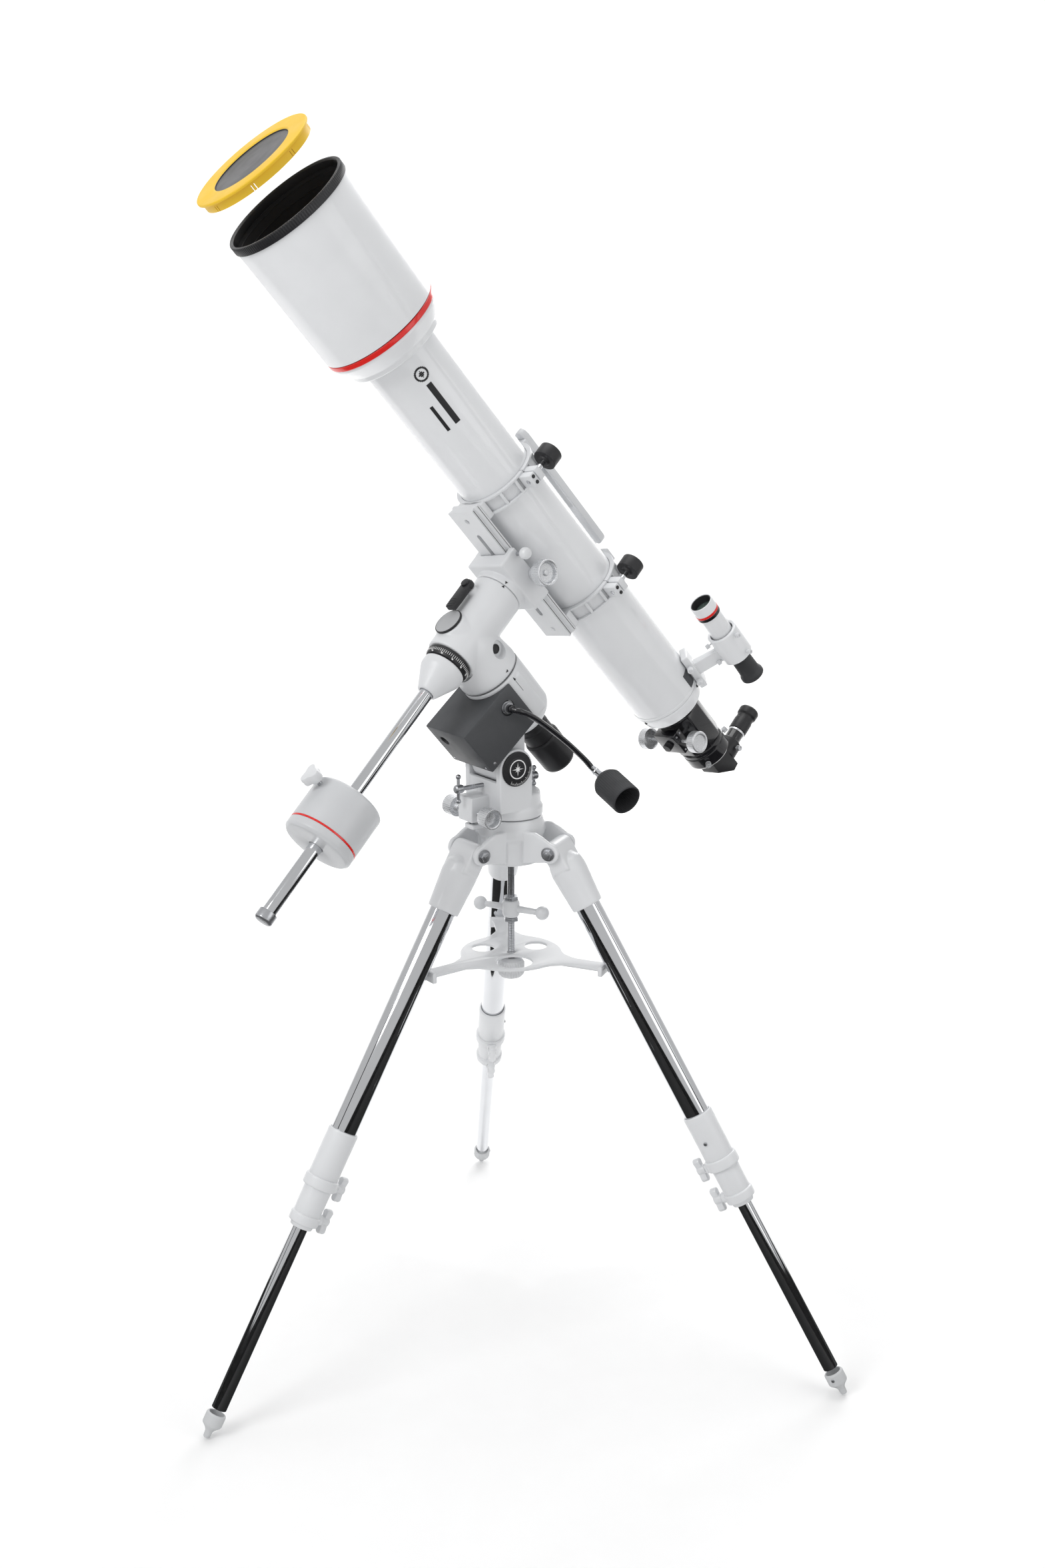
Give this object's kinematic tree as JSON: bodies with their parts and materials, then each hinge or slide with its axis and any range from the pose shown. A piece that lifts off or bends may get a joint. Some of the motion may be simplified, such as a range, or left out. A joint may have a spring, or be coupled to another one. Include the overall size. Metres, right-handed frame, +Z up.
{
  "type": "refractor telescope on equatorial mount",
  "caption": "Refractor telescope with a solar filter on a German equatorial mount and a three-legged folding stand with an accessory tray.",
  "frame": {"origin": "floor level, under the middle of the object's bounding box", "axes": "+Z up; +Y away from the side the telescope is seen from; the tube's front end points up towards -X"},
  "size_m": [0.947, 0.8778, 1.7756],
  "materials": {
    "gloss_white": "gloss pearl white paint over aluminium",
    "weight_grey": "light grey paint over steel",
    "satin_white": "satin light grey powder coat over cast aluminium",
    "leg_white": "off-white moulded casting",
    "anthracite": "matt anthracite",
    "black_satin": "satin black",
    "black_gloss": "gloss black",
    "chrome": "polished chrome plate",
    "silver": "turned and knurled aluminium",
    "rubber": "ribbed dark rubber",
    "yellow": "matt yellow moulded filter frame",
    "glass": "coated optical glass"
  },
  "bodies": {
    "hub": {"tripod_hub": "leg_white"},
    "upper_leg_north": {"leg_casting_north": "leg_white", "upper_leg_north": "chrome", "leg_clamp_north": "leg_white"},
    "clamp_knob_north": {"clamp_knob_north": "leg_white"},
    "lower_leg_north": {"lower_leg_north": "chrome"},
    "upper_leg_east": {"leg_casting_east": "leg_white", "upper_leg_east": "chrome", "leg_clamp_east": "leg_white"},
    "clamp_knob_east": {"clamp_knob_east": "leg_white"},
    "lower_leg_east": {"lower_leg_east": "chrome"},
    "upper_leg_south": {"leg_casting_south": "leg_white", "upper_leg_south": "chrome", "leg_clamp_south": "leg_white"},
    "clamp_knob_south": {"clamp_knob_south": "leg_white"},
    "lower_leg_south": {"lower_leg_south": "chrome"},
    "tray": {"accessory_tray": "leg_white"},
    "tray_knob": {"tray_knob": "satin_white"},
    "clamp_rod": {"clamp_rod": "chrome"},
    "azimuth": {"azimuth_fork": "satin_white"},
    "azimuth_screw_near": {"azimuth_screw_near": "silver"},
    "azimuth_screw_far": {"azimuth_screw_far": "silver"},
    "latitude_bolt_north": {"latitude_bolt_north": "chrome"},
    "latitude_bolt_south": {"latitude_bolt_south": "chrome"},
    "latitude": {"polar_housing": "satin_white", "gear_cover": "anthracite", "polar_scope_cover": "anthracite", "slow_motion_shaft": "black_gloss"},
    "slow_motion_knob": {"slow_motion_knob": "rubber"},
    "hour": {"dec_housing": "satin_white"},
    "dec_lock_lever": {"dec_lock_lever": "black_satin"},
    "declination": {"saddle": "satin_white", "dec_circle": "black_satin", "shaft_cone": "satin_white", "counterweight_bar": "chrome"},
    "saddle_knob": {"saddle_knob": "silver"},
    "counterweight": {"counterweight": "weight_grey"},
    "counterweight_knob": {"counterweight_knob": "weight_grey"},
    "cradle": {"dovetail_rail": "satin_white", "ring_base_front": "satin_white", "ring_base_rear": "satin_white"},
    "ring_tops": {"ring_top_front": "satin_white", "ring_top_rear": "satin_white", "piggyback_bar": "satin_white"},
    "ring_knob_front": {"ring_knob_front": "black_satin"},
    "ring_knob_rear": {"ring_knob_rear": "black_satin"},
    "tube": {"main_tube": "gloss_white", "objective_cell": "satin_white", "objective_lens": "glass", "dew_shield": "gloss_white", "front_rim": "black_satin", "tailpiece": "gloss_white", "focuser_body": "black_gloss"},
    "filter": {"solar_filter": "yellow"},
    "drawtube": {"drawtube": "black_gloss"},
    "focus_knobs": {"focus_knobs": "silver"},
    "diagonal": {"diagonal": "black_satin"},
    "eyepiece": {"eyepiece": "black_satin"},
    "finder": {"finder_bracket": "gloss_white", "finder": "gloss_white"}
  },
  "joints": [
    {"name": "leg_fold_north", "type": "hinge", "parent": "hub", "child": "upper_leg_north", "pos_m": [-0.08987, -0.15023, 0.783], "axis": [0.5948, -0.8039, 0], "range_deg": [0, 20]},
    {"name": "clamp_knob_turn_north", "type": "hinge", "parent": "upper_leg_north", "child": "clamp_knob_north", "pos_m": [-0.29512, -0.30211, 0.29043], "axis": [-0.6926, -0.5125, 0.5075], "continuous": true},
    {"name": "leg_extend_north", "type": "slide", "parent": "upper_leg_north", "child": "lower_leg_north", "axis": [-0.408, -0.3019, -0.8616], "range_m": [-0.275, 0.08]},
    {"name": "leg_fold_east", "type": "hinge", "parent": "hub", "child": "upper_leg_east", "pos_m": [0.03748, -0.13572, 0.783], "axis": [0.3987, 0.9171, 0], "range_deg": [0, 20]},
    {"name": "clamp_knob_turn_east", "type": "hinge", "parent": "upper_leg_east", "child": "clamp_knob_east", "pos_m": [0.27163, -0.23753, 0.29043], "axis": [0.7902, -0.3436, 0.5075], "continuous": true},
    {"name": "leg_extend_east", "type": "slide", "parent": "upper_leg_east", "child": "lower_leg_east", "axis": [0.4654, -0.2024, -0.8616], "range_m": [-0.275, 0.08]},
    {"name": "leg_fold_south", "type": "hinge", "parent": "hub", "child": "upper_leg_south", "pos_m": [-0.03876, -0.03269, 0.783], "axis": [-0.9936, -0.1132, 0], "range_deg": [0, 20]},
    {"name": "clamp_knob_turn_south", "type": "hinge", "parent": "upper_leg_south", "child": "clamp_knob_south", "pos_m": [-0.06767, 0.22099, 0.29043], "axis": [-0.0975, 0.8561, 0.5075], "continuous": true},
    {"name": "leg_extend_south", "type": "slide", "parent": "upper_leg_south", "child": "lower_leg_south", "axis": [-0.0575, 0.5043, -0.8616], "range_m": [-0.275, 0.08]},
    {"name": "tray_drop", "type": "slide", "parent": "hub", "child": "tray", "axis": [0, 0, 1], "range_m": [-0.56, 0]},
    {"name": "tray_knob_turn", "type": "hinge", "parent": "tray", "child": "tray_knob", "pos_m": [-0.03039, -0.10622, 0.59], "axis": [0, 0, 1], "continuous": true},
    {"name": "clamp_rod_turn", "type": "hinge", "parent": "hub", "child": "clamp_rod", "pos_m": [-0.03039, -0.10622, 0.7], "axis": [0, 0, 1], "continuous": true},
    {"name": "azimuth_turn", "type": "hinge", "parent": "hub", "child": "azimuth", "pos_m": [-0.03039, -0.10622, 0.826], "axis": [0, 0, 1], "range_deg": [-7, 7]},
    {"name": "azimuth_screw_slide_near", "type": "slide", "parent": "azimuth", "child": "azimuth_screw_near", "axis": [0.5948, -0.8039, 0], "range_m": [-0.0087, 0.0087]},
    {"name": "azimuth_screw_slide_far", "type": "slide", "parent": "azimuth", "child": "azimuth_screw_far", "axis": [0.5948, -0.8039, 0], "range_m": [-0.0087, 0.0087]},
    {"name": "latitude_tilt", "type": "hinge", "parent": "azimuth", "child": "latitude", "pos_m": [-0.04807, -0.1193, 0.906], "axis": [0.5948, -0.8039, 0], "range_deg": [-6, 8]},
    {"name": "latitude_bolt_slide_north", "type": "slide", "parent": "azimuth", "child": "latitude_bolt_north", "axis": [-0.8039, -0.5948, 0], "range_m": [-0.006, 0.004]},
    {"name": "latitude_bolt_slide_south", "type": "slide", "parent": "azimuth", "child": "latitude_bolt_south", "axis": [-0.8039, -0.5948, 0], "range_m": [-0.006, 0.004]},
    {"name": "slow_motion_turn", "type": "hinge", "parent": "latitude", "child": "slow_motion_knob", "pos_m": [0.09593, -0.08863, 0.884], "axis": [0.525, -0.7858, -0.3268], "continuous": true},
    {"name": "polar_turn", "type": "hinge", "parent": "latitude", "child": "hour", "pos_m": [-0.0955, -0.1544, 1.091], "axis": [-0.5274, -0.3902, 0.7547], "range_deg": [-90, 90]},
    {"name": "dec_lock_turn", "type": "hinge", "parent": "hour", "child": "dec_lock_lever", "pos_m": [-0.08815, -0.13857, 1.16394], "axis": [-0.5274, -0.3902, 0.7547], "range_deg": [-25, 0]},
    {"name": "declination_turn", "type": "hinge", "parent": "hour", "child": "declination", "pos_m": [-0.0955, -0.1544, 1.091], "axis": [0.518, 0.5564, 0.6497], "continuous": true},
    {"name": "saddle_knob_turn", "type": "hinge", "parent": "declination", "child": "saddle_knob", "pos_m": [0.01513, -0.1234, 1.1825], "axis": [0.6498, -0.7499, 0.1241], "continuous": true},
    {"name": "counterweight_slide", "type": "slide", "parent": "declination", "child": "counterweight", "axis": [0.518, 0.5564, 0.6497], "range_m": [-0.09, 0.16]},
    {"name": "counterweight_knob_turn", "type": "hinge", "parent": "counterweight", "child": "counterweight_knob", "pos_m": [-0.28531, -0.34391, 0.9398], "axis": [-0.5563, -0.3579, 0.75], "continuous": true},
    {"name": "dovetail_slide", "type": "slide", "parent": "declination", "child": "cradle", "axis": [-0.5563, -0.3579, 0.75], "range_m": [-0.04, 0.04]},
    {"name": "rings_open", "type": "hinge", "parent": "cradle", "child": "ring_tops", "pos_m": [-0.03273, 0.01439, 1.21809], "axis": [-0.5563, -0.3579, 0.75], "range_deg": [0, 100]},
    {"name": "ring_knob_turn_front", "type": "hinge", "parent": "ring_tops", "child": "ring_knob_front", "pos_m": [0.02149, -0.10999, 1.34296], "axis": [0.518, 0.5564, 0.6497], "continuous": true},
    {"name": "ring_knob_turn_rear", "type": "hinge", "parent": "ring_tops", "child": "ring_knob_rear", "pos_m": [0.14331, -0.03161, 1.1787], "axis": [0.518, 0.5564, 0.6497], "continuous": true},
    {"name": "tube_turn", "type": "hinge", "parent": "cradle", "child": "tube", "pos_m": [0.01276, -0.0381, 1.22678], "axis": [-0.5563, -0.3579, 0.75], "continuous": true},
    {"name": "filter_slide", "type": "slide", "parent": "tube", "child": "filter", "axis": [-0.5563, -0.3579, 0.75], "range_m": [-0.0625, 0]},
    {"name": "drawtube_slide", "type": "slide", "parent": "tube", "child": "drawtube", "axis": [0.5563, 0.3579, -0.75], "range_m": [0, 0.06]},
    {"name": "focus_knobs_turn", "type": "hinge", "parent": "tube", "child": "focus_knobs", "pos_m": [0.22122, 0.08708, 0.89179], "axis": [0.6498, -0.7499, 0.1241], "range_deg": [0, 344]},
    {"name": "diagonal_turn", "type": "hinge", "parent": "drawtube", "child": "diagonal", "pos_m": [0.29923, 0.1462, 0.84053], "axis": [-0.5563, -0.3579, 0.75], "continuous": true},
    {"name": "eyepiece_slide", "type": "slide", "parent": "diagonal", "child": "eyepiece", "axis": [0.518, 0.5564, 0.6497], "range_m": [0, 0.03]},
    {"name": "finder_slide", "type": "slide", "parent": "tube", "child": "finder", "axis": [0.5563, 0.3579, -0.75], "range_m": [0, 0.05]}
  ],
  "couplings": [
    {"joint": "leg_fold_east", "follows": "leg_fold_north", "ratio": 1},
    {"joint": "leg_fold_south", "follows": "leg_fold_north", "ratio": 1},
    {"joint": "tray_drop", "follows": "leg_fold_north", "m_per_rad": -1.6},
    {"joint": "azimuth_screw_slide_near", "follows": "azimuth_turn", "m_per_rad": -0.07},
    {"joint": "azimuth_screw_slide_far", "follows": "azimuth_turn", "m_per_rad": -0.07},
    {"joint": "latitude_bolt_slide_north", "follows": "latitude_tilt", "m_per_rad": -0.028},
    {"joint": "latitude_bolt_slide_south", "follows": "latitude_tilt", "m_per_rad": -0.028},
    {"joint": "focus_knobs_turn", "follows": "drawtube_slide", "rad_per_m": 100}
  ]
}
